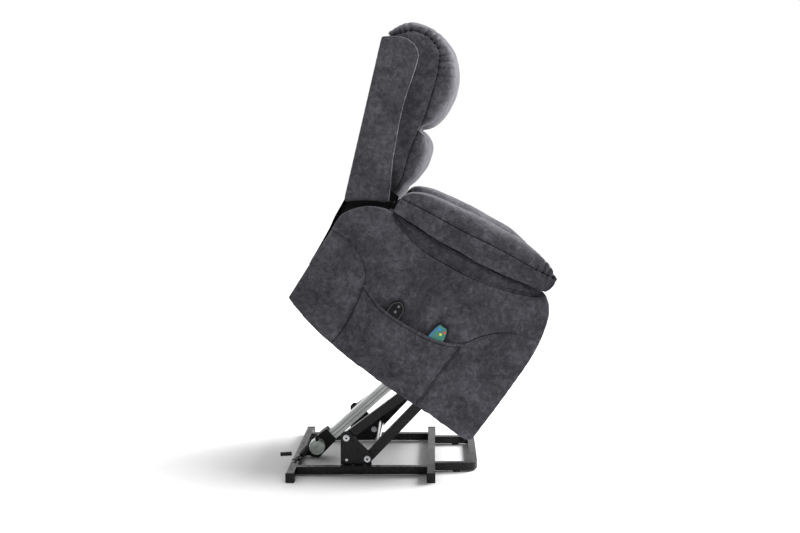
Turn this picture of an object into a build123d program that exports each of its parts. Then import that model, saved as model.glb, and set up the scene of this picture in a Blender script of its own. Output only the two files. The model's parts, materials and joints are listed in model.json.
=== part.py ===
from build123d import *
from math import atan2, cos, degrees, hypot, radians, sin
import os

os.makedirs("parts", exist_ok=True)

# ---------------------------------------------------------------- driving dimensions (mm)
# Row frame: +X is the chair's front, +Y its left side, +Z up. Z = 0 is the floor.
# The upholstered body is drawn in its own lean: u runs forward, w runs up the chair.
LEAN = 33.0                     # nose-down lean of the raised body
BODY_X, BODY_Z = -391.5, 614.0  # rear-bottom corner of the raised body

TUBE = 25.0                     # square base tube
TUBE_WALL = 1.5
TUBE_Z = 6.0                    # underside of the tubes above the floor
BAR_HALF = 309.0                # half length of both cross bars
REAR_BAR_X = -409.5
FRONT_BAR_X = 44.5
RAIL_Y = 222.0
BOW_Y = 175.0
BOW_FRONT_X = 199.0
BOW_RADIUS = 42.0

UP_PIVOT = (-234.0, 124.0)      # upper link pivot on the base (x, z)
LOW_PIVOT = (-165.5, 53.5)      # lower link pivot on the base (x, z)
UP_ANGLE, UP_LENGTH, UP_DEPTH = 36.9, 355.28, 30.0
LOW_ANGLE, LOW_LENGTH, LOW_DEPTH = 46.4, 319.52, 33.0
LINK_IN, LINK_OUT = 188.0, 208.0
PLATE_IN, PLATE_OUT = 212.0, 217.0
PIN_R = 6.0                     # pivot bolt shank
RUN_GAP = 0.05                  # radial running clearance

PIN_A = (521.06, 8.47)          # upper link pivot on the body (u, w)
PIN_B = (553.58, -32.92)        # lower link pivot on the body (u, w)
DRIVE = (539.5, 58.4)           # drive tube on the body (u, w)
DRIVE_R = 12.5

ACT_X, ACT_Z = -297.0, 85.0     # lower end of the actuator track
ACT_ANGLE = 41.8
ACT_PIVOT = (-69.7, 4.6)        # swing pin, along and across the track
ACT_LENGTH = 540.0
DRIVE_S, DRIVE_N = 480.0, -48.0  # drive tube seen from the track

HALF_WIDTH = 430.0              # outer face of the arm panels
ARM_IN = 275.0
ARM_WALL = 18.0
PAD_OUT, PAD_IN = 442.0, 266.0
SEAT_HALF = 262.0
POUCH_FACE = -449.0             # outer face of the pouch
POUCH_WALL = 2.4
CONTROL_BACK = -430.6           # back of both hand controls, against the arm panel
HANDSET_FACE = -444.6
REMOTE_FACE = -443.1
HINGE = (60.0, 290.0)           # backrest hinge (u, w)
WING_IN, WING_OUT = 264.5, 395.0
FOOT_K = (632.0, 174.0)         # footrest link pivots (u, w)
FOOT_M = (632.0, -20.0)
FOOT_N = (668.0, 170.0)

U_DIR = (cos(radians(LEAN)), 0, -sin(radians(LEAN)))


# ---------------------------------------------------------------- drawing planes and helpers
def base_at(y):
    """Upright plane at y: local x = +X, local y = +Z, extrudes toward -Y."""
    return Plane(origin=(0, y, 0), x_dir=(1, 0, 0), z_dir=(0, -1, 0))


def body_at(y):
    """Leaning plane at y: local x = u, local y = w, extrudes toward -Y."""
    return Plane(origin=(BODY_X, y, BODY_Z), x_dir=U_DIR, z_dir=(0, -1, 0))


def act_at(y):
    """Plane along the actuator at y: local x along the track, local y across it."""
    a = radians(ACT_ANGLE)
    return Plane(origin=(ACT_X, y, ACT_Z), x_dir=(cos(a), 0, sin(a)), z_dir=(0, -1, 0))


def link_at(pivot, angle, y):
    """Plane along a lift link at y, with its base pivot as origin."""
    a = radians(angle)
    return Plane(origin=(pivot[0], y, pivot[1]), x_dir=(cos(a), 0, sin(a)), z_dir=(0, -1, 0))


def prism(at, y_high, y_low, points, mode=Mode.ADD):
    """Extrude a straight-sided outline from y_high down to y_low."""
    with BuildSketch(at(y_high)) as shape:
        with BuildLine():
            Polyline(*points, close=True)
        make_face()
    extrude(shape.sketch, amount=y_high - y_low, dir=(0, -1, 0), mode=mode)


def soft_prism(at, y_high, y_low, runs, mode=Mode.ADD):
    """Extrude an outline made of straight runs (two points) and curves (three or more)."""
    with BuildSketch(at(y_high)) as shape:
        with BuildLine():
            for run in runs:
                if len(run) == 2:
                    Line(*run)
                else:
                    Spline(*run)
        make_face()
    extrude(shape.sketch, amount=y_high - y_low, dir=(0, -1, 0), mode=mode)


def round_prism(at, y_high, y_low, points, radius, mode=Mode.ADD):
    """Extrude an outline with every corner rounded."""
    with BuildSketch(at(y_high)) as shape:
        with BuildLine():
            FilletPolyline(*points, radius=radius, close=True)
        make_face()
    extrude(shape.sketch, amount=y_high - y_low, dir=(0, -1, 0), mode=mode)


def slot(at, y_high, y_low, centre, turn, length, width, mode=Mode.ADD):
    """Extrude a round-ended slot along Y."""
    with BuildSketch(at(y_high)) as shape:
        with Locations(Location((centre[0], centre[1], 0), (0, 0, turn))):
            SlotCenterToCenter(length, width)
    extrude(shape.sketch, amount=y_high - y_low, dir=(0, -1, 0), mode=mode)


def disc(at, y_high, y_low, centre, radius, mode=Mode.ADD):
    """Extrude a circle along Y."""
    with BuildSketch(at(y_high)) as shape:
        with Locations(centre):
            Circle(radius)
    extrude(shape.sketch, amount=y_high - y_low, dir=(0, -1, 0), mode=mode)


def block(x0, x1, y0, y1, z0, z1, mode=Mode.ADD):
    """Axis-aligned box from its corners."""
    with BuildSketch(Plane.XY.offset(z0)) as shape:
        with Locations(((x0 + x1) / 2, (y0 + y1) / 2)):
            Rectangle(x1 - x0, y1 - y0)
    extrude(shape.sketch, amount=z1 - z0, dir=(0, 0, 1), mode=mode)


def sides(inner, outer):
    """(y_high, y_low) of the right-hand part and of its left-hand mirror."""
    return ((-inner, -outer), (outer, inner))


def save(builder, name):
    builder.part.label = name
    export_step(builder.part, "parts/" + name + ".step")


# ---------------------------------------------------------------- base frame
bar_front_face = REAR_BAR_X + TUBE / 2
bar_rear_face = FRONT_BAR_X - TUBE / 2

with BuildPart() as base_rails:
    for y in (-RAIL_Y, RAIL_Y):
        block(bar_front_face, bar_rear_face, y - TUBE / 2, y + TUBE / 2, TUBE_Z, TUBE_Z + TUBE)
        block(bar_front_face, bar_rear_face, y - TUBE / 2 + TUBE_WALL, y + TUBE / 2 - TUBE_WALL,
              TUBE_Z + TUBE_WALL, TUBE_Z + TUBE - TUBE_WALL, Mode.SUBTRACT)
        # clearance holes for the plate bolts
        for x in (-245.5, -211.5, -172.5):
            with BuildSketch(Plane.XY.offset(TUBE_Z + TUBE)):
                with Locations((x, y + (4.0 if y > 0 else -4.0))):
                    Circle(3.2)
            extrude(amount=-5, mode=Mode.SUBTRACT)
save(base_rails, "base_rails")

with BuildPart() as rear_crossbar:
    block(REAR_BAR_X - TUBE / 2, REAR_BAR_X + TUBE / 2, -BAR_HALF, BAR_HALF, TUBE_Z, TUBE_Z + TUBE)
    block(REAR_BAR_X - TUBE / 2 + TUBE_WALL, REAR_BAR_X + TUBE / 2 - TUBE_WALL,
          -BAR_HALF - 1, BAR_HALF + 1, TUBE_Z + TUBE_WALL, TUBE_Z + TUBE - TUBE_WALL, Mode.SUBTRACT)
    for y, radius in ((-262, 3.5), (-179, 5.5), (-62, 3.5), (62, 3.5), (262, 3.5)):
        with BuildSketch(Plane.XY.offset(TUBE_Z + TUBE)):
            with Locations((REAR_BAR_X, y)):
                Circle(radius)
        extrude(amount=-5, mode=Mode.SUBTRACT)
save(rear_crossbar, "rear_crossbar")

with BuildPart() as front_crossbar:
    block(FRONT_BAR_X - TUBE / 2, FRONT_BAR_X + TUBE / 2, -BAR_HALF, BAR_HALF, TUBE_Z, TUBE_Z + TUBE)
    block(FRONT_BAR_X - TUBE / 2 + TUBE_WALL, FRONT_BAR_X + TUBE / 2 - TUBE_WALL,
          -BAR_HALF - 1, BAR_HALF + 1, TUBE_Z + TUBE_WALL, TUBE_Z + TUBE - TUBE_WALL, Mode.SUBTRACT)
save(front_crossbar, "front_crossbar")

with BuildPart() as front_bow:
    bow_start = FRONT_BAR_X + TUBE / 2
    for grow, z0, z1, mode in ((0.0, TUBE_Z, TUBE_Z + TUBE, Mode.ADD),
                               (TUBE_WALL, TUBE_Z + TUBE_WALL, TUBE_Z + TUBE - TUBE_WALL, Mode.SUBTRACT)):
        outer_y = BOW_Y + TUBE / 2 - grow
        inner_y = BOW_Y - TUBE / 2 + grow
        front_out = BOW_FRONT_X - grow
        front_in = BOW_FRONT_X - TUBE + grow
        start = bow_start - (0 if mode == Mode.ADD else 1)
        with BuildSketch(Plane.XY.offset(z0)):
            with BuildLine():
                FilletPolyline((start, outer_y), (front_out, outer_y), (front_out, -outer_y),
                               (start, -outer_y), radius=BOW_RADIUS)
                Line((start, -outer_y), (start, -inner_y))
                FilletPolyline((start, -inner_y), (front_in, -inner_y), (front_in, inner_y),
                               (start, inner_y), radius=BOW_RADIUS - TUBE + 2 * grow)
                Line((start, inner_y), (start, outer_y))
            make_face()
        extrude(amount=z1 - z0, mode=mode)
save(front_bow, "front_bow")

with BuildPart() as base_feet:
    for x in (REAR_BAR_X, FRONT_BAR_X):
        for sign in (-1, 1):
            y0, y1 = sorted((sign * BAR_HALF, sign * (BAR_HALF + 4)))
            block(x - 14, x + 14, y0, y1, 0, TUBE_Z + TUBE + 1)
            y0, y1 = sorted((sign * (BAR_HALF - 30), sign * BAR_HALF))
            block(x - 14, x + 14, y0, y1, 0, TUBE_Z)
    for y in (-BOW_Y, BOW_Y):
        block(118, 142, y - 10, y + 10, 0, TUBE_Z)
    fillet(base_feet.edges().filter_by(Axis.Z), radius=1.2)
save(base_feet, "base_feet")

# ---------------------------------------------------------------- pivot plates and their bolts
plate_outline = ((-253.5, 31), (-151.5, 31), (-151.5, 64), (-160.5, 79), (-222, 141),
                 (-228.5, 145), (-243.5, 145), (-253.5, 134))
for name, (hi, lo), sign in (("pivot_plate_right", sides(PLATE_IN, PLATE_OUT)[0], -1),
                             ("pivot_plate_left", sides(PLATE_IN, PLATE_OUT)[1], 1)):
    with BuildPart() as plate:
        prism(base_at, hi, lo, plate_outline)
        foot = sorted((sign * PLATE_OUT, sign * 234.0))
        block(-253.5, -151.5, foot[0], foot[1], 31, 35)
        for centre in (UP_PIVOT, LOW_PIVOT):
            disc(base_at, hi + 1, lo - 1, centre, PIN_R + 0.2, Mode.SUBTRACT)
        for x in (-245.5, -211.5, -172.5):
            with BuildSketch(Plane.XY.offset(30)):
                with Locations((x, sign * 226.0)):
                    Circle(3.2)
            extrude(amount=6, mode=Mode.SUBTRACT)
    save(plate, name)

with BuildPart() as plate_bolts:
    for sign in (-1, 1):
        for x in (-245.5, -211.5, -172.5):
            with BuildSketch(Plane.XY.offset(22)):
                with Locations((x, sign * 226.0)):
                    Circle(3.0)
            extrude(amount=13)
            with BuildSketch(Plane.XY.offset(35)):
                with Locations((x, sign * 226.0)):
                    Circle(6.0)
            extrude(amount=3.6, taper=18)
save(plate_bolts, "plate_bolts")

with BuildPart() as base_pivot_bolts:
    for sign in (-1, 1):
        for centre in (UP_PIVOT, LOW_PIVOT):
            for a, b, r in ((PLATE_OUT, PLATE_OUT + 5, 10.5), (PLATE_OUT + 5, PLATE_OUT + 8, 7.5),
                            (LINK_IN - 8, PLATE_OUT, PIN_R), (LINK_OUT + 0.3, PLATE_IN, 10.0),
                            (LINK_IN - 7, LINK_IN - 0.4, 10.0)):
                hi, lo = sorted((sign * a, sign * b), reverse=True)
                disc(base_at, hi, lo, centre, r)
save(base_pivot_bolts, "base_pivot_bolts")

# ---------------------------------------------------------------- lift links
def channel_link(at, hi, lo, length, depth, inner_side_high):
    """Pressed channel with full-width bosses at both ends, open toward the chair's middle."""
    slot(at, hi, lo, (length / 2, 0), 0, length, depth)
    top, bottom = (hi + 1, lo + 3.0) if inner_side_high else (hi - 3.0, lo - 1)
    round_prism(at, top, bottom, ((24, -depth / 2 + 3), (length - 26, -depth / 2 + 3),
                                  (length - 26, depth / 2 - 3), (24, depth / 2 - 3)), 4, Mode.SUBTRACT)


for name, (hi, lo), near in (("lower_link_right", sides(LINK_IN, LINK_OUT)[0], True),
                             ("lower_link_left", sides(LINK_IN, LINK_OUT)[1], False)):
    def at(y):
        return link_at(LOW_PIVOT, LOW_ANGLE, y)
    with BuildPart() as link:
        channel_link(at, hi, lo, LOW_LENGTH, LOW_DEPTH, near)
        disc(at, hi, lo, (40, 0), 13.0)
        disc(at, hi + 1, lo - 1, (40, 0), 3.5, Mode.SUBTRACT)
        for s in (0, LOW_LENGTH):
            disc(at, hi + 1, lo - 1, (s, 0), PIN_R + RUN_GAP, Mode.SUBTRACT)
    save(link, name)

with BuildPart() as lower_cross_rod:
    disc(lambda y: link_at(LOW_PIVOT, LOW_ANGLE, y), LINK_IN, -LINK_IN, (40, 0), 8.5)
save(lower_cross_rod, "lower_cross_rod")

for name, (hi, lo), near in (("upper_link_right", sides(LINK_IN, LINK_OUT)[0], True),
                             ("upper_link_left", sides(LINK_IN, LINK_OUT)[1], False)):
    def at(y):
        return link_at(UP_PIVOT, UP_ANGLE, y)
    with BuildPart() as link:
        channel_link(at, hi, lo, UP_LENGTH, UP_DEPTH, near)
        disc(at, hi, lo, (UP_LENGTH + 1, 2.5), 17.0)
        disc(at, hi + 1, lo - 1, (0, 0), PIN_R + RUN_GAP, Mode.SUBTRACT)
        # slotted end: the bolt wanders 5.4 mm up the link at mid travel
        slot(at, hi + 1, lo - 1, (UP_LENGTH + 1.0, 2.5), 68.0, 6.6, 2 * PIN_R + 1.6, Mode.SUBTRACT)
    save(link, name)

with BuildPart() as upper_cross_tube:
    def at(y):
        return link_at(UP_PIVOT, UP_ANGLE, y)
    prism(at, LINK_IN, -LINK_IN, ((290, -11), (312, -11), (312, 11), (290, 11)))
    prism(at, LINK_IN + 1, -LINK_IN - 1, ((292, -9), (310, -9), (310, 9), (292, 9)), Mode.SUBTRACT)
save(upper_cross_tube, "upper_cross_tube")

# ---------------------------------------------------------------- actuator
with BuildPart() as actuator_clevis:
    prism(base_at, 8, -8, ((bar_front_face, 8), (bar_front_face, 31), (-368, 52), (-345, 53), (-340, 42),
                           (-346, 33), (-372, 8)))
    prism(base_at, 20, -20, ((bar_front_face, 8), (bar_front_face, 31), (bar_front_face + 5, 31),
                             (bar_front_face + 5, 8)))
    disc(base_at, 23.5, -23.5, (-352, 42), 5.0)
save(actuator_clevis, "actuator_clevis")

with BuildPart() as gearbox_housing:
    prism(act_at, 24, -24, ((-2, -21), (-2, 30), (-26, 33), (-60, 31), (-96, 27), (-107, 14), (-107, -8),
                            (-92, -26), (-80, -27)))
    prism(act_at, 8.6, -8.6, ((-30, -40), (-30, 50), (-130, 50), (-130, -40)), Mode.SUBTRACT)
    disc(act_at, 25, -25, ACT_PIVOT, 5.0 + RUN_GAP, Mode.SUBTRACT)
    fillet(gearbox_housing.edges().filter_by(Axis.Y), radius=2)
save(gearbox_housing, "gearbox_housing")

MOTOR = (-63.1, 8.2)
with BuildPart() as motor_can:
    disc(act_at, -24, -56, MOTOR, 26.5)
    chamfer(motor_can.faces().sort_by(Axis.Y)[0].edges(), length=2.5)
save(motor_can, "motor_can")

with BuildPart() as motor_end_cap:
    disc(act_at, -56, -59, MOTOR, 19.0)
    disc(act_at, -59, -62.5, MOTOR, 8.0)
    for du in (-14, 14):
        disc(act_at, -59, -61, (MOTOR[0] + du, MOTOR[1]), 3.0)
save(motor_end_cap, "motor_end_cap")

with BuildPart() as actuator_track:
    prism(act_at, 20, -20, ((-2, -18), (ACT_LENGTH, -18), (ACT_LENGTH, 18), (-2, 18)))
    prism(act_at, 17.5, -17.5, ((-2, -15.5), (ACT_LENGTH + 1, -15.5), (ACT_LENGTH + 1, 15.5), (-2, 15.5)),
          Mode.SUBTRACT)
    for n in (-6.0, 6.0):
        for hi, lo in ((21, 18.8), (-18.8, -21)):
            prism(act_at, hi, lo, ((-3, n - 1.6), (ACT_LENGTH + 1, n - 1.6), (ACT_LENGTH + 1, n + 1.6),
                                   (-3, n + 1.6)), Mode.SUBTRACT)
    prism(act_at, 20, -20, ((ACT_LENGTH, -18), (ACT_LENGTH + 4, -18), (ACT_LENGTH + 4, 18),
                            (ACT_LENGTH, 18)))
save(actuator_track, "actuator_track")

with BuildPart() as lead_screw:
    a = radians(ACT_ANGLE)
    with BuildSketch(Plane(origin=(ACT_X - 2 * cos(a), 0, ACT_Z - 2 * sin(a)), x_dir=(0, 1, 0),
                           z_dir=(cos(a), 0, sin(a)))):
        Circle(7)
    extrude(amount=ACT_LENGTH - 2)
save(lead_screw, "lead_screw")

with BuildPart() as carriage:
    round_prism(act_at, 29, -29, ((455, -72), (522, -72), (522, 26), (455, 26)), 4)
    prism(act_at, 20.3, -20.3, ((450, -18.3), (530, -18.3), (530, 18.3), (450, 18.3)), Mode.SUBTRACT)
    prism(act_at, 21, -21, ((450, -80), (530, -80), (530, -23), (450, -23)), Mode.SUBTRACT)
    # slotted ears: the drive tube wanders 16.3 mm along the slot at mid travel
    slot(act_at, 30, -30, (DRIVE_S + 7.6, DRIVE_N + 3.0), 22.0, 17.6, 2 * DRIVE_R + 2.4, Mode.SUBTRACT)
save(carriage, "carriage")

# ---------------------------------------------------------------- wiring at the motor
with BuildPart() as lead_connector:
    with BuildSketch(Plane(origin=(-376.5, -91.5, 60), x_dir=(0.72, -0.45, 0), z_dir=(-0.45, -0.72, -0.53))):
        RectangleRounded(15, 12, 3)
    extrude(amount=40)
save(lead_connector, "lead_connector")


def lead(points, turns, radius):
    """Round lead along straight runs joined by arcs."""
    with BuildLine() as route:
        FilletPolyline(*points, radius=turns)
    with BuildSketch(Plane(origin=route.line @ 0, z_dir=route.line % 0)) as section:
        Circle(radius)
    sweep(section.sketch, path=route.line)


with BuildPart() as cable_tie:
    with BuildSketch(Plane.XZ.offset(138)):
        with Locations((REAR_BAR_X, TUBE_Z + TUBE / 2)):
            Rectangle(TUBE + 3.2, TUBE + 3.2)
            Rectangle(TUBE + 0.8, TUBE + 0.8, mode=Mode.SUBTRACT)
    extrude(amount=5)
    block(REAR_BAR_X + 6, REAR_BAR_X + 12, -143, -138, TUBE_Z + TUBE + 1.0, TUBE_Z + TUBE + 6)
save(cable_tie, "cable_tie")

# The motor's lead drops to an inline connector, then runs on past the tie into the rear bar.
with BuildPart() as motor_lead:
    lead(((-349, -52, 82), (-352, -68, 100), (-366, -86, 88), (-376.5, -91, 62)), (9, 9), 3.0)
    lead(((-398, -119, 36), (-404, -128, 36.5), (REAR_BAR_X, -141, 37.5), (REAR_BAR_X, -172, 38.5),
          (REAR_BAR_X, -186, 22)), (8, 8, 11), 2.6)
save(motor_lead, "motor_lead")

# short coiled lead, kept as one solid sleeve
with BuildPart() as coiled_lead:
    sleeve_start = Plane(origin=(REAR_BAR_X - 18, -118, 44), x_dir=(0, 1, 0), z_dir=(-1, 0, -0.05))
    with BuildSketch(sleeve_start) as ring:
        Circle(7.5)
    extrude(ring.sketch, amount=38)
save(coiled_lead, "coiled_lead")

# ---------------------------------------------------------------- lift brackets inside the body
bracket_outline = ((560, -58), (580, -44), (600, 20), (606, 215), (450, 215), (498, 70), (497, 2), (532, -50))
with BuildPart() as lift_frame:
    for hi, lo in sides(PLATE_IN, PLATE_OUT):
        prism(body_at, hi, lo, bracket_outline)
        for centre in (PIN_A, PIN_B):
            disc(body_at, hi + 1, lo - 1, centre, PIN_R + 0.2, Mode.SUBTRACT)
    for centre in ((578, 20), (470, 195)):
        disc(body_at, PLATE_IN, -PLATE_IN, centre, 10)
        disc(body_at, PLATE_IN + 1, -PLATE_IN - 1, centre, 8, Mode.SUBTRACT)
save(lift_frame, "lift_frame")

with BuildPart() as body_pivot_bolts:
    for sign in (-1, 1):
        for centre in (PIN_A, PIN_B):
            for a, b, r in ((PLATE_OUT, PLATE_OUT + 5, 10.5), (PLATE_OUT + 5, PLATE_OUT + 8, 7.5),
                            (LINK_IN - 8, PLATE_OUT, PIN_R), (LINK_OUT + 0.3, PLATE_IN, 10.0),
                            (LINK_IN - 7, LINK_IN - 0.4, 10.0)):
                hi, lo = sorted((sign * a, sign * b), reverse=True)
                disc(body_at, hi, lo, centre, r)
save(body_pivot_bolts, "body_pivot_bolts")

with BuildPart() as drive_tube:
    disc(body_at, PLATE_IN, -PLATE_IN, DRIVE, DRIVE_R)
    disc(body_at, PLATE_IN + 1, -PLATE_IN - 1, DRIVE, DRIVE_R - 2, Mode.SUBTRACT)
save(drive_tube, "drive_tube")

# ---------------------------------------------------------------- seat frame
with BuildPart() as seat_frame:
    for hi, lo in sides(PLATE_OUT, 247.0):
        prism(body_at, hi, lo, ((40, 190), (640, 190), (640, 220), (40, 220)))
    for u in (62, 612):
        prism(body_at, PLATE_OUT, -PLATE_OUT, ((u, 190), (u + 28, 190), (u + 28, 220), (u, 220)))
        prism(body_at, PLATE_OUT, -PLATE_OUT, ((u + 2, 192), (u + 26, 192), (u + 26, 218),
                                               (u + 2, 218)), Mode.SUBTRACT)
    for hi, lo in sides(PLATE_OUT, 247.0):
        prism(body_at, hi - 2, lo + 2, ((39, 192), (641, 192), (641, 218), (39, 218)), Mode.SUBTRACT)
    # cross irons that carry both arm boxes
    for hi, lo in sides(247.0, ARM_IN):
        for u in (150, 560):
            prism(body_at, hi, lo, ((u, 190), (u + 50, 190), (u + 50, 198), (u, 198)))
    # footrest hangers with their pivot pins
    for (hi, lo), (ph, pl) in zip(sides(232.0, 238.0), sides(224.5, 239.0)):
        prism(body_at, hi, lo, ((612, 190), (640, 190), (644, 164), (620, 164)))
        disc(body_at, ph, pl, FOOT_K, 5.0)
save(seat_frame, "seat_frame")

with BuildPart() as seat_webbing:
    for y in (-180, -90, 0, 90, 180):
        prism(body_at, y + 27, y - 27, ((62, 220), (640, 220), (640, 223), (62, 223)))
    for u in (130, 230, 330, 430, 530):
        prism(body_at, 247, -247, ((u, 223), (u + 50, 223), (u + 50, 226), (u, 226)))
save(seat_webbing, "seat_webbing")

with BuildPart() as seat_cushion:
    soft_prism(body_at, SEAT_HALF, -SEAT_HALF, (
        ((150, 228), (650, 228)),
        ((650, 228), (668, 262), (676, 310), (664, 352), (630, 376)),
        ((630, 376), (500, 384), (400, 380), (250, 368), (160, 356)),
        ((160, 356), (136, 330), (132, 270), (150, 228))))
    fillet(seat_cushion.faces().sort_by(Axis.Y)[0].edges() +
           seat_cushion.faces().sort_by(Axis.Y)[-1].edges(), radius=12)
save(seat_cushion, "seat_cushion")

# ---------------------------------------------------------------- arms
arm_outline = (
    ((0, 0), (116, -36), (246, -57), (402, -67), (535, -70), (640, -75), (704, -76)),
    ((704, -76), (714, -64)),
    ((714, -64), (721, 47), (727, 189), (724, 293), (712, 351)),
    ((712, 351), (700, 388), (678, 420), (650, 439)),
    ((650, 439), (569, 421.5), (478, 406), (367, 398), (263, 392), (190, 391.5), (121, 393)),
    ((121, 393), (86, 384.5), (46, 362), (16, 331), (-2, 300)),
    ((-2, 300), (0, 0)))
arm_cavity = ((28, -110), (684, -110), (692, 330), (636, 405), (140, 366), (70, 335), (30, 290))
pad_outline = (
    ((121, 393.5), (190, 392), (263, 392.5), (367, 398.5), (478, 406.5), (569, 422), (650, 439.5)),
    ((650, 439.5), (662, 468), (661, 492), (642, 509)),
    ((642, 509), (600, 528), (550, 537), (497, 541), (425, 539), (356, 531), (291, 518), (191, 500),
     (140, 478), (123, 452)),
    ((123, 452), (121, 393.5)))
# soft pouch: from the body outwards it stands 19 mm off the arm at its mouth
pouch_outline = (
    ((176, 164), (226, 142), (270, 130), (336, 127), (423, 134), (480, 151), (524, 172)),
    ((524, 172), (517, 62), (514, -16), (504, -60)),
    ((504, -60), (402, -58), (300, -50), (200, -40)),
    ((200, -40), (192, 40), (185, 101), (170, 140), (176, 164)))

for name, (hi, lo) in (("arm_right", sides(ARM_IN, HALF_WIDTH)[0]),
                       ("arm_left", sides(ARM_IN, HALF_WIDTH)[1])):
    with BuildPart() as arm:
        soft_prism(body_at, hi, lo, arm_outline)
        prism(body_at, hi - ARM_WALL, lo + ARM_WALL, arm_cavity, Mode.SUBTRACT)
    save(arm, name)

slope = radians(LEAN - 4.97)
across_pad = Plane(origin=(BODY_X + 100 * U_DIR[0] + 391 * sin(radians(LEAN)), 0,
                           BODY_Z + 100 * U_DIR[2] + 391 * cos(radians(LEAN))),
                   x_dir=(0, 1, 0), z_dir=(cos(slope), 0, -sin(slope)))
for name, (hi, lo) in (("arm_pad_right", sides(PAD_IN, PAD_OUT)[0]),
                       ("arm_pad_left", sides(PAD_IN, PAD_OUT)[1])):
    with BuildPart() as pad:
        soft_prism(body_at, hi, lo, pad_outline)
        # crowned cross-section, swept along the pad's own slope
        mid, half = (hi + lo) / 2, (hi - lo) / 2
        with BuildSketch(across_pad) as crown:
            with BuildLine():
                Spline((mid - half, 52), (mid - half + 7, 78), (mid - half + 32, 103), (mid, 114),
                       (mid + half - 32, 103), (mid + half - 7, 78), (mid + half, 52))
                Polyline((mid + half, 52), (mid + half, -20), (mid - half, -20), (mid - half, 52))
            make_face()
        extrude(crown.sketch, amount=620, dir=across_pad.z_dir, mode=Mode.INTERSECT)
    save(pad, name)

with BuildPart() as side_pouch:
    soft_prism(body_at, -HALF_WIDTH, POUCH_FACE, pouch_outline)
    # hollow behind the mouth, closed at the bottom and both sides
    soft_prism(body_at, -HALF_WIDTH + 1, POUCH_FACE + POUCH_WALL, (
        ((200, 230), (510, 230)), ((510, 230), (507, 62), (500, 6)),
        ((500, 6), (215, 6)), ((215, 6), (203, 80), (200, 230))), Mode.SUBTRACT)
    chamfer([e for e in side_pouch.faces().sort_by(Axis.Y)[0].edges()
             if abs(e.center().Y - POUCH_FACE) < 0.5 and e.length > 280 and
             e.bounding_box().max.Z < 560][:1], length=6)
save(side_pouch, "side_pouch")

# ---------------------------------------------------------------- hand controls
with BuildPart() as handset:
    soft_prism(body_at, CONTROL_BACK, HANDSET_FACE, (
        ((275, 14), (319, 14)), ((319, 14), (322, 90), (321.5, 148)),
        ((321.5, 148), (316, 170), (297, 181), (278, 170), (272.5, 148)),
        ((272.5, 148), (272, 90), (275, 14))))
    for c in ((297.5, 163.5), (297.5, 144.0)):
        disc(body_at, HANDSET_FACE + 2, HANDSET_FACE - 1, c, 6.3, Mode.SUBTRACT)
save(handset, "handset")

with BuildPart() as handset_bezel:
    soft_prism(body_at, HANDSET_FACE, HANDSET_FACE - 1.5, (
        ((277, 18), (317, 18)), ((317, 18), (319.5, 90), (319, 147)),
        ((319, 147), (314, 167.5), (297, 178), (280, 167.5), (275, 147)),
        ((275, 147), (274.5, 90), (277, 18))))
    soft_prism(body_at, HANDSET_FACE + 1, HANDSET_FACE - 3, (
        ((280, 21), (314, 21)), ((314, 21), (316, 90), (315.5, 146)),
        ((315.5, 146), (311, 165), (297, 174), (283, 165), (278.5, 146)),
        ((278.5, 146), (278, 90), (280, 21))), Mode.SUBTRACT)
save(handset_bezel, "handset_bezel")

for name, c in (("handset_up_button", (297.5, 163.5)), ("handset_down_button", (297.5, 144.0))):
    with BuildPart() as button:
        disc(body_at, HANDSET_FACE + 0.1, HANDSET_FACE - 1.7, c, 6.0)
        chamfer(button.faces().sort_by(Axis.Y)[0].edges(), length=0.5)
    save(button, name)

with BuildPart() as massage_remote:
    soft_prism(body_at, CONTROL_BACK, REMOTE_FACE, (
        ((420, 18), (470, 18)), ((470, 18), (473.5, 90), (474.5, 150)),
        ((474.5, 150), (470, 175), (462, 189)), ((462, 189), (430, 191)),
        ((430, 191), (421, 172), (415.5, 140), (416, 90), (420, 18))))
    for c in ((441.0, 172.5), (458.5, 172.0), (450.5, 160.5)):
        disc(body_at, REMOTE_FACE + 2, REMOTE_FACE - 1, c, 4.4, Mode.SUBTRACT)
save(massage_remote, "massage_remote")

for name, c in (("remote_blue_key", (441.0, 172.5)), ("remote_red_key", (458.5, 172.0)),
                ("remote_yellow_key", (450.5, 160.5))):
    with BuildPart() as key:
        disc(body_at, REMOTE_FACE + 0.3, REMOTE_FACE - 1.4, c, 4.0)
        chamfer(key.faces().sort_by(Axis.Y)[0].edges(), length=0.5)
    save(key, name)

# ---------------------------------------------------------------- rear flap
with BuildPart() as rear_dust_flap:
    prism(body_at, 400, -400, ((-11.2, 244), (-8.7, 244), (-2.2, 118), (-4.7, 118)))
    prism(body_at, 274, -274, ((-4.7, 118), (-2.2, 118), (12.5, 25), (10, 25)))
save(rear_dust_flap, "rear_dust_flap")

# ---------------------------------------------------------------- backrest
SLOPE = -169.0 / 475.0  # u per w along the leaning rear face


def rear_u(w, forward=0.0):
    return -21.0 + (w - 345.0) * SLOPE + forward


with BuildPart() as back_frame:
    for hi, lo in sides(234.0, 262.0):
        prism(body_at, hi, lo, ((rear_u(300, 9), 300), (rear_u(300, 37), 300), (rear_u(838, 37), 838),
                                (rear_u(838, 9), 838)))
    for w in (318, 470, 640, 800):
        prism(body_at, 234, -234, ((rear_u(w, 9), w), (rear_u(w, 37), w), (rear_u(w + 34, 37), w + 34),
                                   (rear_u(w + 34, 9), w + 34)))
    # steel hinge plates on the posts
    for hi, lo in sides(262.0, 266.0):
        prism(body_at, hi, lo, ((4, 300), (34, 300), (48, 277), (66, 276), (75, 290), (66, 304), (36, 329),
                                (-6, 329)))
        disc(body_at, hi + 1, lo - 1, HINGE, PIN_R + RUN_GAP, Mode.SUBTRACT)
save(back_frame, "back_frame")

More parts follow.
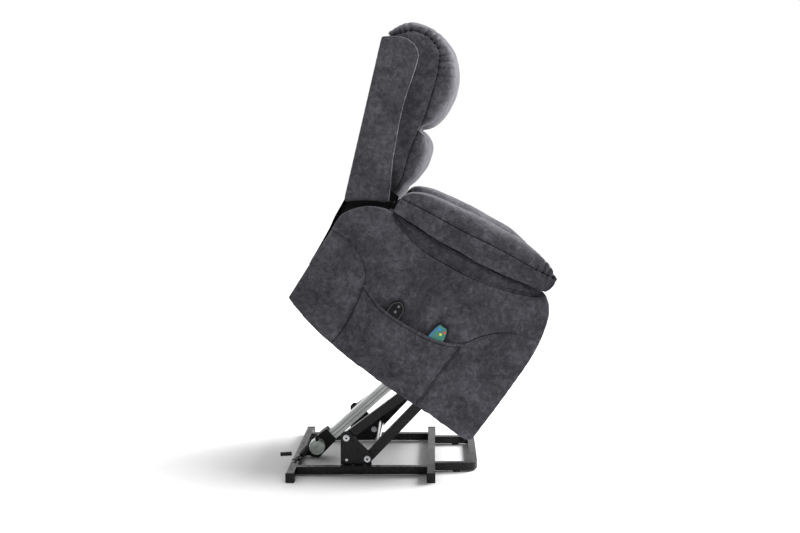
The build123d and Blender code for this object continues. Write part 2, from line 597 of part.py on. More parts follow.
with BuildPart() as back_outer_panel:
    prism(body_at, 263.5, -263.5, ((rear_u(345), 345), (rear_u(345, 8.5), 345), (rear_u(838, 8.5), 838),
                                   (rear_u(838), 838)))
save(back_outer_panel, "back_outer_panel")

wing_outline = (
    ((-21, 345), (-15, 337)),
    ((-15, 337), (15, 361), (49, 383), (97, 407)),
    ((97, 407), (101, 411)),
    ((101, 411), (79, 455), (47, 515), (20, 576), (-2, 629), (-29, 708), (-51, 794), (-64, 833)),
    ((-64, 833), (-82, 850), (-111, 857), (-137, 853), (-166, 838), (-190, 820)),
    ((-190, 820), (-21, 345)))
for name, (hi, lo) in (("back_wing_right", sides(WING_IN, WING_OUT)[0]),
                       ("back_wing_left", sides(WING_IN, WING_OUT)[1])):
    with BuildPart() as wing:
        soft_prism(body_at, hi, lo, wing_outline)
    save(wing, name)

with BuildPart() as head_pillow:
    soft_prism(body_at, SEAT_HALF, -SEAT_HALF, (
        ((75, 668), (95, 690), (105, 735), (104, 790), (90, 845), (62, 893), (9, 938), (-50, 954),
         (-110, 953), (-160, 934), (-195, 895), (-206, 858)),
        ((-206, 858), (-196, 840)),
        ((-196, 840), (rear_u(840, 38), 840)),
        ((rear_u(840, 38), 840), (rear_u(672, 38), 672)),
        ((rear_u(672, 38), 672), (-60, 664), (20, 660), (75, 668))))
save(head_pillow, "head_pillow")

with BuildPart() as lumbar_cushion:
    soft_prism(body_at, SEAT_HALF, -SEAT_HALF, (
        ((100, 656), (128, 626), (143, 588), (146, 545), (141, 508), (128, 480)),
        ((128, 480), (60, 470), (rear_u(474, 38), 474)),
        ((rear_u(474, 38), 474), (rear_u(660, 38), 660)),
        ((rear_u(660, 38), 660), (-50, 651), (20, 646), (100, 656))))
save(lumbar_cushion, "lumbar_cushion")

with BuildPart() as lower_back_cushion:
    soft_prism(body_at, SEAT_HALF, -SEAT_HALF, (
        ((112, 466), (124, 440), (124, 410), (104, 388)),
        ((104, 388), (60, 382), (rear_u(386, 38), 386)),
        ((rear_u(386, 38), 386), (rear_u(468, 38), 468)),
        ((rear_u(468, 38), 468), (50, 462), (112, 466))))
save(lower_back_cushion, "lower_back_cushion")

with BuildPart() as back_side_cloth:
    for hi, lo in sides(262.2, 264.2):
        prism(body_at, hi, lo, ((-6, 332), (100, 384), (124, 396), (116, 436), (84, 440), (-8, 352)))
    # strip that hangs from the back panel's lower edge and overlaps the rear flap
    prism(body_at, 263, -263, ((-20.6, 344.6), (-18.4, 344.6), (-12.5, 266), (-14.5, 266)))
save(back_side_cloth, "back_side_cloth")

with BuildPart() as recline_brackets:
    for (hi, lo), (fh, fl) in zip(sides(267.5, 272.0), sides(247.0, 267.5)):
        prism(body_at, hi, lo, ((30, 190), (110, 190), (78, 302), (60, 308), (42, 302)))
        prism(body_at, fh, fl, ((30, 190), (110, 190), (110, 196), (30, 196)))
    for hi, lo in sides(258.0, 273.5):
        disc(body_at, hi, lo, HINGE, PIN_R)
save(recline_brackets, "recline_brackets")


# ---------------------------------------------------------------- footrest
def bar_link(p, q, half, hi, lo):
    """Flat bar from pivot p to pivot q."""
    du, dw = q[0] - p[0], q[1] - p[1]
    middle = ((p[0] + q[0]) / 2, (p[1] + q[1]) / 2)
    slot(body_at, hi, lo, middle, degrees(atan2(dw, du)), hypot(du, dw), 2 * half)


with BuildPart() as footrest_rear_links:
    for (hi, lo), (ph, pl) in zip(sides(225.0, 231.0), sides(217.6, 231.0)):
        bar_link(FOOT_K, FOOT_M, 11, hi, lo)
        disc(body_at, hi + 1, lo - 1, FOOT_K, 5.0 + RUN_GAP, Mode.SUBTRACT)
        disc(body_at, ph, pl, FOOT_M, 4.0)
save(footrest_rear_links, "footrest_rear_links")

with BuildPart() as footrest_front_links:
    for hi, lo in sides(218.0, 224.0):
        bar_link(FOOT_M, FOOT_N, 10, hi, lo)
        for centre in (FOOT_M, FOOT_N):
            disc(body_at, hi + 1, lo - 1, centre, 4.0 + RUN_GAP, Mode.SUBTRACT)
save(footrest_front_links, "footrest_front_links")

with BuildPart() as footrest_brackets:
    for (hi, lo), (ph, pl) in zip(sides(225.0, 231.0), sides(217.6, 231.0)):
        prism(body_at, hi, lo, ((658, 158), (682, 140), (682, 205), (660, 182)))
        disc(body_at, ph, pl, FOOT_N, 4.0)
save(footrest_brackets, "footrest_brackets")

with BuildPart() as footrest_board:
    prism(body_at, 255, -255, ((682, 45), (694, 45), (694, 325), (682, 325)))
save(footrest_board, "footrest_board")

with BuildPart() as footrest_pad:
    soft_prism(body_at, SEAT_HALF, -SEAT_HALF, (
        ((694, 36), (710, 40), (721, 56)),
        ((721, 56), (728, 120), (732, 190), (729, 270), (722, 318)),
        ((722, 318), (712, 336), (694, 340)),
        ((694, 340), (694, 36))))
save(footrest_pad, "footrest_pad")
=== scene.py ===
import json
import math

import bmesh
import bpy
import numpy as np
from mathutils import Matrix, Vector
from mathutils.bvhtree import BVHTree

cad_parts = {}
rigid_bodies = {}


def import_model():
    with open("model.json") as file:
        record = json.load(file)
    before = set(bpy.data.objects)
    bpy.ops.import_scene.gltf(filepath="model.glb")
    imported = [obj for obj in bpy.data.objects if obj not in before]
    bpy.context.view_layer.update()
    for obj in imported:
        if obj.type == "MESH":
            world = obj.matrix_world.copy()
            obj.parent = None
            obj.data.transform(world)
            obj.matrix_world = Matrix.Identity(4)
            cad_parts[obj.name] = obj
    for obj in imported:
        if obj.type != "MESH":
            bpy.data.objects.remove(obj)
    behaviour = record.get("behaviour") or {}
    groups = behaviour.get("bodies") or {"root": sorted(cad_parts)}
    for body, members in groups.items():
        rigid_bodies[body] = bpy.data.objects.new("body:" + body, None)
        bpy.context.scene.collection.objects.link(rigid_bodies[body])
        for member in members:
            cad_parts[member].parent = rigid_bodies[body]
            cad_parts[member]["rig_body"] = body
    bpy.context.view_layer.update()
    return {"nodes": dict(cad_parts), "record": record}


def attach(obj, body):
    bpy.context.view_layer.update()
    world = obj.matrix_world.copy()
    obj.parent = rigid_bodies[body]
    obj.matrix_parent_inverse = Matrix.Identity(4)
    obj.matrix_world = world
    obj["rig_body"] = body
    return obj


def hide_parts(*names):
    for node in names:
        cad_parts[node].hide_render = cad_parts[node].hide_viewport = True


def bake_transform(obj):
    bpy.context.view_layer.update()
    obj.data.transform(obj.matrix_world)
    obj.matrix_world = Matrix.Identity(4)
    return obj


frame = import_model()
nodes = frame["nodes"]
scene = bpy.context.scene

# ------------------------------------------------------------------ the chair's own axes
# u runs forward and w runs up the leaning body, y is the row's; all three in millimetres.
LEAN = math.radians(33.0)
BODY_X, BODY_Z = -391.5, 614.0
COS, SIN = math.cos(LEAN), math.sin(LEAN)
ARM_FACE = 430.0
PAD_MIDDLE = 354.0
BACK_HALF = 262.0
TRACK_ANGLE = math.radians(41.8)


def row(points):
    """Chair (u, w, y) in mm to the row frame in metres, for an array or a list of points."""
    p = np.atleast_2d(np.array(points, float))
    return np.stack((BODY_X + p[:, 0] * COS + p[:, 1] * SIN, p[:, 2],
                     BODY_Z - p[:, 0] * SIN + p[:, 1] * COS), 1) / 1000.0


def chair(points):
    """Row frame in metres to chair (u, w, y) in mm."""
    p = np.atleast_2d(np.array(points, float)) * 1000.0
    x, z = p[:, 0] - BODY_X, p[:, 2] - BODY_Z
    return np.stack((x * COS - z * SIN, x * SIN + z * COS, p[:, 1]), 1)


def smoothstep(x):
    x = np.clip(x, 0.0, 1.0)
    return x * x * (3.0 - 2.0 * x)


def ripple(p, size, seed):
    """Soft random waves from about -1 to 1 with a wavelength near size, for an array of points."""
    rng = np.random.default_rng(seed)
    total = np.zeros(len(p))
    for _ in range(7):
        direction = rng.normal(size=p.shape[1])
        direction *= 2.0 * math.pi / (size * rng.uniform(0.7, 1.5) * np.linalg.norm(direction))
        total += np.sin(p @ direction + rng.uniform(0, 6.28))
    return total / 3.2


def smooth_line(points, step=4.0):
    """A curve through the points, sampled about every step mm."""
    p = np.array(points, float)
    ext = np.vstack((2 * p[0] - p[1], p, 2 * p[-1] - p[-2]))
    out = []
    for i in range(1, len(ext) - 2):
        a, b, c, d = ext[i - 1], ext[i], ext[i + 1], ext[i + 2]
        n = max(2, int(np.linalg.norm(c - b) / step))
        for t in np.arange(n) / n:
            out.append(0.5 * (2 * b + (c - a) * t + (2 * a - 5 * b + 4 * c - d) * t ** 2 +
                              (3 * b - a - 3 * c + d) * t ** 3))
    out.append(p[-1])
    return np.array(out)


def along(points, line):
    """For 2-D points: distance to the line, length along it, side (+ left of travel), nearest point."""
    p = np.array(points, float)
    best = np.full(len(p), 1e9)
    run, side = np.zeros(len(p)), np.zeros(len(p))
    near = np.zeros((len(p), 2))
    start = 0.0
    for a, b in zip(line[:-1], line[1:]):
        d = b - a
        length = np.linalg.norm(d)
        t = np.clip(((p - a) @ d) / length ** 2, 0, 1)
        n = a + t[:, None] * d
        dist = np.linalg.norm(p - n, axis=1)
        m = dist < best
        best[m], near[m] = dist[m], n[m]
        run[m] = start + t[m] * length
        cross = d[0] * (p[:, 1] - a[1]) - d[1] * (p[:, 0] - a[0])
        side[m] = np.sign(cross[m])
        start += length
    return best, run, side, near


# ------------------------------------------------------------------ seams, chair (u, w)
CRESCENT = smooth_line(((120, 393), (126, 389), (199.6, 366.5), (253, 352.5), (326, 350), (431, 356.6),
                        (540, 380), (611, 405), (656, 432)))
REAR_SEAM = smooth_line(((-1.8, 246.6), (51.2, 248.7), (106.7, 232.8), (149, 201.7), (169.7, 169.5),
                         (184.6, 100.8), (191.4, 39.8), (189, -27.7), (186, -46)))
MOUTH = smooth_line(((176.4, 164), (222, 143), (269.8, 130), (336.3, 127), (423, 133.8), (480, 150),
                     (522, 171.9)))
FRONT_UP = smooth_line(((522, 171.9), (534.4, 183.3), (557.3, 218), (588.6, 250), (628.7, 279),
                        (676.4, 295.5), (724, 303)))
FRONT_DOWN = smooth_line(((526.2, 168), (515.5, 61.8), (513.4, -15.8), (504, -68)))
PAD_SEAM = smooth_line(((122, 443), (128.5, 444), (222, 454), (326, 461), (459.5, 477), (573, 484),
                        (646, 493), (661, 496)))
BACK_SEAM = smooth_line(((-196, 838), (-180, 846), (-155, 874), (-130, 898), (-87, 908), (-48, 902),
                         (-19, 881), (4, 837), (24, 775), (43, 708), (52, 666), (55, 640), (66, 578),
                         (82, 522), (92, 488), (94, 462), (92, 436), (90, 415), (84, 392)))
WING_EDGE = smooth_line(((97, 407), (79, 455), (47, 515), (20, 576), (-2, 629), (-29, 708), (-51, 794),
                         (-64, 833), (-82, 850), (-111, 857), (-137, 853), (-166, 838), (-190, 820)))


# ------------------------------------------------------------------ materials
def node(tree, kind, **values):
    made = tree.nodes.new(kind)
    for key, value in values.items():
        if key in made.inputs:
            made.inputs[key].default_value = value
        else:
            setattr(made, key, value)
    return made


def noise(tree, scale, detail, rough, vector, distortion=0.0):
    made = node(tree, "ShaderNodeTexNoise", Scale=scale, Detail=detail, Roughness=rough,
                Distortion=distortion)
    tree.links.new(vector, made.inputs["Vector"])
    return made.outputs["Fac"]


def spread(tree, value, low, high, out_low, out_high):
    made = node(tree, "ShaderNodeMapRange")
    tree.links.new(value, made.inputs["Value"])
    for key, number in zip(("From Min", "From Max", "To Min", "To Max"), (low, high, out_low, out_high)):
        made.inputs[key].default_value = number
    return made.outputs["Result"]


def blank(name):
    mat = bpy.data.materials.new(name)
    mat.use_nodes = True
    tree = mat.node_tree
    shader = tree.nodes["Principled BSDF"]
    where = node(tree, "ShaderNodeTexCoord").outputs["Object"]
    return mat, tree, shader, where


def two_colours(tree, fac, dark, light):
    mix = node(tree, "ShaderNodeMix", data_type="RGBA")
    tree.links.new(fac, mix.inputs["Factor"])
    # the colour pair's own sockets, after the number and vector pairs
    mix.inputs[6].default_value = (*dark, 1)
    mix.inputs[7].default_value = (*light, 1)
    return mix.outputs[2]


def add_scaled(tree, value, factor, other):
    """value * factor + other."""
    made = node(tree, "ShaderNodeMath", operation="MULTIPLY_ADD")
    tree.links.new(value, made.inputs[0])
    made.inputs[1].default_value = factor
    tree.links.new(other, made.inputs[2])
    return made.outputs[0]


def surface(name, dark, light, scale, rough, metallic=0.0, grain=700.0, relief=0.00006,
            stretch=(1, 1, 1), turn=0.0, **sockets):
    """Hard material: mottled colour and roughness, and a fine grain. Stretch gives brushed metal."""
    mat, tree, shader, where = blank(name)
    mapping = node(tree, "ShaderNodeMapping")
    mapping.inputs["Rotation"].default_value = (0, turn, 0)
    mapping.inputs["Scale"].default_value = stretch
    tree.links.new(where, mapping.inputs["Vector"])
    place = mapping.outputs["Vector"]
    patch = noise(tree, scale, 4, 0.6, place)
    fine = noise(tree, grain, 3, 0.6, place)
    fac = spread(tree, patch, 0.32, 0.68, 0, 1)
    tree.links.new(two_colours(tree, fac, dark, light), shader.inputs["Base Color"])
    both = add_scaled(tree, fine, 0.4, patch)
    tree.links.new(spread(tree, both, 0.45, 0.95, *rough), shader.inputs["Roughness"])
    bump = node(tree, "ShaderNodeBump", Strength=1.0, Distance=relief)
    tree.links.new(fine, bump.inputs["Height"])
    tree.links.new(bump.outputs["Normal"], shader.inputs["Normal"])
    shader.inputs["Metallic"].default_value = metallic
    for key, value in sockets.items():
        shader.inputs[key.replace("_", " ")].default_value = value
    return mat


def suede(name, dark, mid, light, sheen):
    """Brushed faux suede: cloudy patches of nap 10 to 30 mm across, fine streaks and a soft sheen."""
    mat, tree, shader, where = blank(name)
    wide = noise(tree, 11.0, 3, 0.55, where)
    patch = noise(tree, 58.0, 7, 0.66, where, 0.7)
    small = noise(tree, 250.0, 4, 0.62, where)
    nap = noise(tree, 900.0, 3, 0.65, where)
    mixed = add_scaled(tree, patch, 1.5, wide)
    mixed = add_scaled(tree, small, 0.55, mixed)
    mixed = add_scaled(tree, nap, 0.25, mixed)
    ramp = node(tree, "ShaderNodeValToRGB")
    tree.links.new(spread(tree, mixed, 1.28, 2.02, 0, 1), ramp.inputs["Fac"])
    ramp.color_ramp.elements[0].color = (*dark, 1)
    ramp.color_ramp.elements[1].color = (*light, 1)
    ramp.color_ramp.elements.new(0.5).color = (*mid, 1)
    tree.links.new(ramp.outputs["Color"], shader.inputs["Base Color"])
    tree.links.new(spread(tree, patch, 0.3, 0.7, 0.95, 0.78), shader.inputs["Roughness"])
    bump = node(tree, "ShaderNodeBump", Strength=0.9, Distance=0.0005)
    tree.links.new(add_scaled(tree, nap, 0.45, small), bump.inputs["Height"])
    tree.links.new(bump.outputs["Normal"], shader.inputs["Normal"])
    shader.inputs["Specular IOR Level"].default_value = 0.18
    shader.inputs["Sheen Weight"].default_value = sheen
    shader.inputs["Sheen Roughness"].default_value = 0.42
    shader.inputs["Sheen Tint"].default_value = (0.86, 0.86, 0.94, 1)
    return mat


def weave(name, dark, light, pitch=0.9):
    """Thin black dust cloth with a visible weave, pitch in mm."""
    mat, tree, shader, where = blank(name)
    waves = []
    for axis in ("X", "Y", "Z"):
        wave = node(tree, "ShaderNodeTexWave", bands_direction=axis, Scale=1000.0 / pitch / 20.0,
                    Distortion=0.6, Detail=1.0)
        tree.links.new(where, wave.inputs["Vector"])
        waves.append(wave.outputs["Fac"])
    add = node(tree, "ShaderNodeMath", operation="MULTIPLY_ADD")
    tree.links.new(waves[0], add.inputs[0])
    tree.links.new(waves[1], add.inputs[1])
    tree.links.new(waves[2], add.inputs[2])
    cloud = noise(tree, 30.0, 4, 0.6, where)
    tree.links.new(two_colours(tree, spread(tree, cloud, 0.3, 0.7, 0, 1), dark, light),
                   shader.inputs["Base Color"])
    bump = node(tree, "ShaderNodeBump", Strength=0.6, Distance=0.0002)
    tree.links.new(add.outputs[0], bump.inputs["Height"])
    tree.links.new(bump.outputs["Normal"], shader.inputs["Normal"])
    tree.links.new(spread(tree, cloud, 0.3, 0.7, 0.85, 0.97), shader.inputs["Roughness"])
    shader.inputs["Specular IOR Level"].default_value = 0.2
    return mat


MAT = {
    "suede": suede("suede_charcoal", (0.022, 0.0215, 0.0258), (0.047, 0.046, 0.0535),
                   (0.090, 0.088, 0.102), sheen=0.16),
    # the same suede for the back cushion, wings and back panel, made lighter: painted light for the
    # better-lit back
    "suede_back_painted_light": suede("suede_back_painted_light", (0.028, 0.028, 0.0325), (0.060, 0.060, 0.0680),
                        (0.112, 0.112, 0.126), sheen=0.20),
    # near-black beads laid along the seams: painted shade standing in for the shadow in the seam grooves
    "shade_line": surface("painted_seam_shadow", (0.002, 0.002, 0.003), (0.006, 0.006, 0.008), 900, (0.8, 0.95),
                      grain=2600, relief=0.0002, Specular_IOR_Level=0.06),
    "cloth": weave("black_dust_cloth", (0.003, 0.003, 0.003), (0.008, 0.008, 0.009)),
    "paint": surface("black_paint", (0.0045, 0.0045, 0.005), (0.0065, 0.0065, 0.007), 26, (0.20, 0.34),
                     grain=420, relief=0.00001, Specular_IOR_Level=0.20),
    "plastic": surface("black_plastic", (0.005, 0.005, 0.006), (0.012, 0.012, 0.013), 60, (0.38, 0.55),
                       grain=1300, relief=0.00006, Specular_IOR_Level=0.2),
    "zinc": surface("zinc", (0.42, 0.43, 0.45), (0.66, 0.67, 0.69), 240, (0.22, 0.42), metallic=1.0,
                    grain=1500, relief=0.00005),
    "black_bolt": surface("black_bolt", (0.010, 0.010, 0.011), (0.03, 0.03, 0.032), 200, (0.28, 0.45),
                          metallic=0.4, grain=1200),
    "rod": surface("bright_rod", (0.5, 0.5, 0.52), (0.72, 0.72, 0.74), 60, (0.12, 0.25), metallic=1.0,
                   stretch=(1, 18, 18), turn=TRACK_ANGLE),
    "alloy": surface("track_alloy", (0.56, 0.57, 0.57), (0.74, 0.75, 0.75), 30, (0.30, 0.46),
                     metallic=0.85, grain=260, relief=0.00004, stretch=(1, 16, 16),
                     turn=TRACK_ANGLE),
    "can": surface("motor_steel", (0.48, 0.54, 0.50), (0.72, 0.77, 0.73), 70, (0.26, 0.42),
                   metallic=0.6, grain=900, relief=0.00005),
    "ply": surface("plywood", (0.36, 0.24, 0.13), (0.56, 0.41, 0.25), 22, (0.55, 0.75), grain=300,
                   relief=0.0002, stretch=(1, 1, 7)),
    "gloss": surface("handset_gloss", (0.003, 0.003, 0.004), (0.006, 0.006, 0.007), 90, (0.04, 0.12),
                     grain=500, relief=0.00001, Specular_IOR_Level=0.14),
    # dark grey ring, lighter than the black handset body so that its rim shows a painted highlight
    "bezel": surface("handset_bezel", (0.03, 0.03, 0.032), (0.05, 0.05, 0.053), 120, (0.14, 0.26),
                     metallic=0.3, grain=900, relief=0.00002, Specular_IOR_Level=0.3),
    "button": surface("button_face", (0.012, 0.012, 0.013), (0.02, 0.02, 0.022), 300, (0.3, 0.45),
                      grain=1600, relief=0.00004),
    "mark": surface("pale_mark", (0.30, 0.32, 0.35), (0.42, 0.44, 0.47), 400, (0.4, 0.6), grain=2000,
                    relief=0.00002),
    "teal": surface("remote_green", (0.028, 0.17, 0.125), (0.045, 0.24, 0.175), 160, (0.32, 0.5),
                    grain=1500, relief=0.00003),
    "blue_wedge": surface("remote_blue", (0.022, 0.13, 0.23), (0.04, 0.20, 0.32), 160, (0.32, 0.5),
                          grain=1500, relief=0.00003),
    "blue": surface("blue_rubber", (0.02, 0.18, 0.75), (0.05, 0.27, 0.9), 300, (0.45, 0.6), grain=1800,
                    relief=0.00004),
    "red": surface("red_rubber", (0.6, 0.03, 0.04), (0.8, 0.06, 0.06), 300, (0.45, 0.6), grain=1800,
                   relief=0.00004),
    "yellow": surface("yellow_rubber", (0.75, 0.62, 0.02), (0.9, 0.78, 0.05), 300, (0.45, 0.6),
                      grain=1800, relief=0.00004),
    "lead": surface("lead_jacket", (0.007, 0.007, 0.008), (0.015, 0.015, 0.016), 150, (0.42, 0.6),
                    grain=1600, relief=0.00006),
    "floor": surface("studio_floor", (0.86, 0.86, 0.865), (0.89, 0.89, 0.895), 0.6, (0.75, 0.9),
                     grain=60, relief=0.00002),
}


def dress(obj, mat):
    obj.data.materials.clear()
    obj.data.materials.append(MAT[mat])
    return obj


# ------------------------------------------------------------------ camera, floor and light
camera = bpy.data.objects.new("camera", bpy.data.cameras.new("camera"))
scene.collection.objects.link(camera)
camera.location = (0.0605, -3.79658, 1.03927)
camera.rotation_euler = (math.radians(90.0 - 5.578), 0, 0)
camera.data.lens = 50
camera.data.sensor_width = 36
camera.data.shift_x = -0.045
scene.camera = camera
scene.view_settings.view_transform = "Standard"
AMBIENT_NEAR, AMBIENT_FAR = 0.45, 1.05

floor_mesh = bpy.data.meshes.new("floor")
floor_mesh.from_pydata([(-9, -5, 0), (9, -5, 0), (9, 16, 0), (-9, 16, 0)], [], [(0, 1, 2, 3)])
floor = bpy.data.objects.new("floor", floor_mesh)
scene.collection.objects.link(floor)
dress(floor, "floor")

world = bpy.data.worlds.new("studio")
scene.world = world
world.use_nodes = True
studio = world.node_tree
studio.nodes["Background"].inputs["Color"].default_value = (1, 1, 1, 1)
# the studio is dimmer on the camera's side than behind the chair
facing = node(studio, "ShaderNodeSeparateXYZ")
studio.links.new(node(studio, "ShaderNodeTexCoord").outputs["Generated"], facing.inputs[0])
studio.links.new(spread(studio, facing.outputs["Y"], -0.25, 0.35, AMBIENT_NEAR, AMBIENT_FAR),
                 studio.nodes["Background"].inputs["Strength"])
seen = node(studio, "ShaderNodeBackground", Color=(1, 1, 1, 1), Strength=1.0)
ray = node(studio, "ShaderNodeLightPath")
choose = node(studio, "ShaderNodeMixShader")
studio.links.new(ray.outputs["Is Camera Ray"], choose.inputs[0])
studio.links.new(studio.nodes["Background"].outputs[0], choose.inputs[1])
studio.links.new(seen.outputs[0], choose.inputs[2])
studio.links.new(choose.outputs[0], studio.nodes["World Output"].inputs["Surface"])


def softbox(name, place, aim, size, power):
    light = bpy.data.lights.new(name, "AREA")
    light.shape = "RECTANGLE"
    light.size, light.size_y = size
    light.energy = power
    lamp = bpy.data.objects.new(name, light)
    scene.collection.objects.link(lamp)
    lamp.location = place
    lamp.rotation_euler = (Vector(aim) - Vector(place)).to_track_quat("-Z", "Y").to_euler()


softbox("key", (2.1, 1.5, 2.1), (0, 0, 1.1), (1.3, 1.6), 160)
sun = bpy.data.objects.new("sun", bpy.data.lights.new("sun", "SUN"))
sun.data.energy = 2.3
sun.data.angle = math.radians(28)
sun.rotation_euler = Vector((-0.62, 0.32, -1.2)).to_track_quat("-Z", "Y").to_euler()
scene.collection.objects.link(sun)


# ------------------------------------------------------------------ mesh tools
def link(name, mesh, body, mat):
    made = bpy.data.objects.new(name, mesh)
    scene.collection.objects.link(made)
    dress(made, mat)
    if body:
        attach(made, body)
    return made


def coords(obj):
    co = np.zeros(len(obj.data.vertices) * 3, np.float32)
    obj.data.vertices.foreach_get("co", co)
    return co.reshape(-1, 3).astype(float)


def normals(obj):
    no = np.zeros(len(obj.data.vertices) * 3, np.float32)
    obj.data.vertices.foreach_get("normal", no)
    return no.reshape(-1, 3).astype(float)


def put(obj, co):
    obj.data.vertices.foreach_set("co", np.asarray(co, np.float32).ravel())
    obj.data.update()


def settle(obj):
    """Apply every modifier."""
    graph = bpy.context.evaluated_depsgraph_get()
    mesh = bpy.data.meshes.new_from_object(obj.evaluated_get(graph))
    obj.modifiers.clear()
    obj.data = mesh
    return obj


def remesh(obj, voxel):
    mod = obj.modifiers.new("remesh", "REMESH")
    mod.mode = "VOXEL"
    mod.voxel_size = voxel
    mod.use_smooth_shade = True
    return settle(obj)


def soften(obj, times, factor=0.5):
    mod = obj.modifiers.new("soften", "SMOOTH")
    mod.iterations = times
    mod.factor = factor
    return settle(obj)


def refine(obj):
    mod = obj.modifiers.new("refine", "SUBSURF")
    mod.levels = mod.render_levels = 1
    return settle(obj)


def shade_smooth(obj):
    obj.data.polygons.foreach_set("use_smooth", [True] * len(obj.data.polygons))
    obj.data.update()


def soft_copy(name, sources, voxel, mat="suede", joins=()):
    """A remeshed copy of soft CAD nodes of one body, which it replaces. Joins are filling blocks
    between them, each a list of four chair (u, w) corners and a half width."""
    bm = bmesh.new()
    for source in sources:
        bm.from_mesh(nodes[source].data)
    bmesh.ops.remove_doubles(bm, verts=bm.verts, dist=1e-5)
    for corners, half in joins:
        ends = [[bm.verts.new(row([(u, w, y)])[0]) for u, w in corners] for y in (-half, half)]
        block = [bm.faces.new(ends[0]), bm.faces.new(ends[1][::-1])]
        for i in range(4):
            k = (i + 1) % 4
            block.append(bm.faces.new((ends[0][k], ends[0][i], ends[1][i], ends[1][k])))
        bmesh.ops.recalc_face_normals(bm, faces=block)
    mesh = bpy.data.meshes.new(name)
    bm.to_mesh(mesh)
    bm.free()
    made = bpy.data.objects.new(name, mesh)
    scene.collection.objects.link(made)
    remesh(made, voxel)
    dress(made, mat)
    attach(made, nodes[sources[0]]["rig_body"])
    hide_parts(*sources)
    return made


def grid_mesh(name, rows, closed=False):
    """Quads through a list of equally long rows of points, in metres."""
    count = len(rows[0])
    verts = [tuple(p) for line in rows for p in line]
    faces = []
    for i in range(len(rows) - 1):
        for j in range(count if closed else count - 1):
            k = (j + 1) % count
            faces.append((i * count + j, i * count + k, (i + 1) * count + k, (i + 1) * count + j))
    mesh = bpy.data.meshes.new(name)
    mesh.from_pydata(verts, [], faces)
    mesh.polygons.foreach_set("use_smooth", [True] * len(faces))
    mesh.update()
    return mesh


def tube_mesh(name, points, radius, ends=True, count=12, radii=None):
    """Closed tube along points in metres, with optional radii along it."""
    p = np.array(points, float)
    tangents = np.gradient(p, axis=0)
    tangents /= np.linalg.norm(tangents, axis=1)[:, None]
    side = np.cross(tangents[0], (0.3, 0.2, 1.0))
    rings = []
    for i, (centre, t) in enumerate(zip(p, tangents)):
        side = side - t * (side @ t)
        side /= np.linalg.norm(side)
        other = np.cross(t, side)
        r = radii[i] if radii is not None else radius
        rings.append([centre + r * (math.cos(a) * side + math.sin(a) * other)
                      for a in np.arange(count) * 2 * math.pi / count])
    mesh = grid_mesh(name, rings, closed=True)
    bm = bmesh.new()
    bm.from_mesh(mesh)
    bm.verts.ensure_lookup_table()
    if ends:
        bm.faces.new([bm.verts[i] for i in range(count)][::-1])
        last = (len(rings) - 1) * count
        bm.faces.new([bm.verts[last + i] for i in range(count)])
    bmesh.ops.recalc_face_normals(bm, faces=bm.faces)
    bm.to_mesh(mesh)
    bm.free()
    return mesh


def lines(name, paths, radius, body, mat="shade_line"):
    """Thin round beads along several paths of points in metres, as one piece. By default they are
    near-black: painted seam shade.
    """
    curve = bpy.data.curves.new(name, "CURVE")
    curve.dimensions = "3D"
    curve.bevel_depth = radius
    curve.bevel_resolution = 2
    curve.use_fill_caps = True
    for path in paths:
        spline = curve.splines.new("POLY")
        spline.points.add(len(path) - 1)
        for point, place in zip(spline.points, path):
            point.co = (*place, 1)
        spline.use_smooth = True
    return link(name, curve, body, mat)


def on_side(obj, uw, side, sink=0.0003):
    """Points on obj's outer side under a chair (u, w) line, seen along y from the given side."""
    tree = BVHTree.FromPolygons([v.co for v in obj.data.vertices], [p.vertices for p in obj.data.polygons])
    out = []
    for u, w in uw:
        start = Vector(row([(u, w, side * 600.0)])[0])
        hit = tree.ray_cast(start, Vector((0, -side, 0)))[0]
        if hit is not None:
            out.append((hit.x, hit.y - side * sink, hit.z))
    return out


def plate(name, outline, y0, y1, body, mat, bevel=0.0003, flat=row):
    """A thin plate with an outline in chair (u, w), from y0 to y1 in mm, with soft edges."""
    bm = bmesh.new()
    low = [bm.verts.new(flat([(u, w, y0)])[0]) for u, w in outline]
    face = bm.faces.new(low)
    up = bmesh.ops.extrude_face_region(bm, geom=[face])["geom"]
    move = Vector((0, (y1 - y0) / 1000.0, 0))
    bmesh.ops.translate(bm, verts=[g for g in up if isinstance(g, bmesh.types.BMVert)], vec=move)
    bmesh.ops.recalc_face_normals(bm, faces=bm.faces)
    if bevel:
        bmesh.ops.bevel(bm, geom=list(bm.edges), offset=bevel, segments=2, affect="EDGES", profile=0.5)
    mesh = bpy.data.meshes.new(name)
    bm.to_mesh(mesh)
    bm.free()
    return link(name, mesh, body, mat)


# ------------------------------------------------------------------ the motor's lead
def nurbs_points(points):
    """The smooth line of a route given by its control points, in metres."""
    curve = bpy.data.curves.new("route", "CURVE")
    curve.dimensions = "3D"
    spline = curve.splines.new("NURBS")
    spline.points.add(len(points) - 1)
    for point, place in zip(spline.points, points):
        point.co = (*place, 1)
    spline.order_u = 3
    spline.use_endpoint_u = True
    spline.resolution_u = 16
    holder = bpy.data.objects.new("route", curve)
    scene.collection.objects.link(holder)
    graph = bpy.context.evaluated_depsgraph_get()
    mesh = bpy.data.meshes.new_from_object(holder.evaluated_get(graph))
    path = [tuple(v.co) for v in mesh.vertices]
    bpy.data.objects.remove(holder)
    return path


def run_length(path):
    return float(np.linalg.norm(np.diff(np.array(path), axis=0), axis=1).sum())


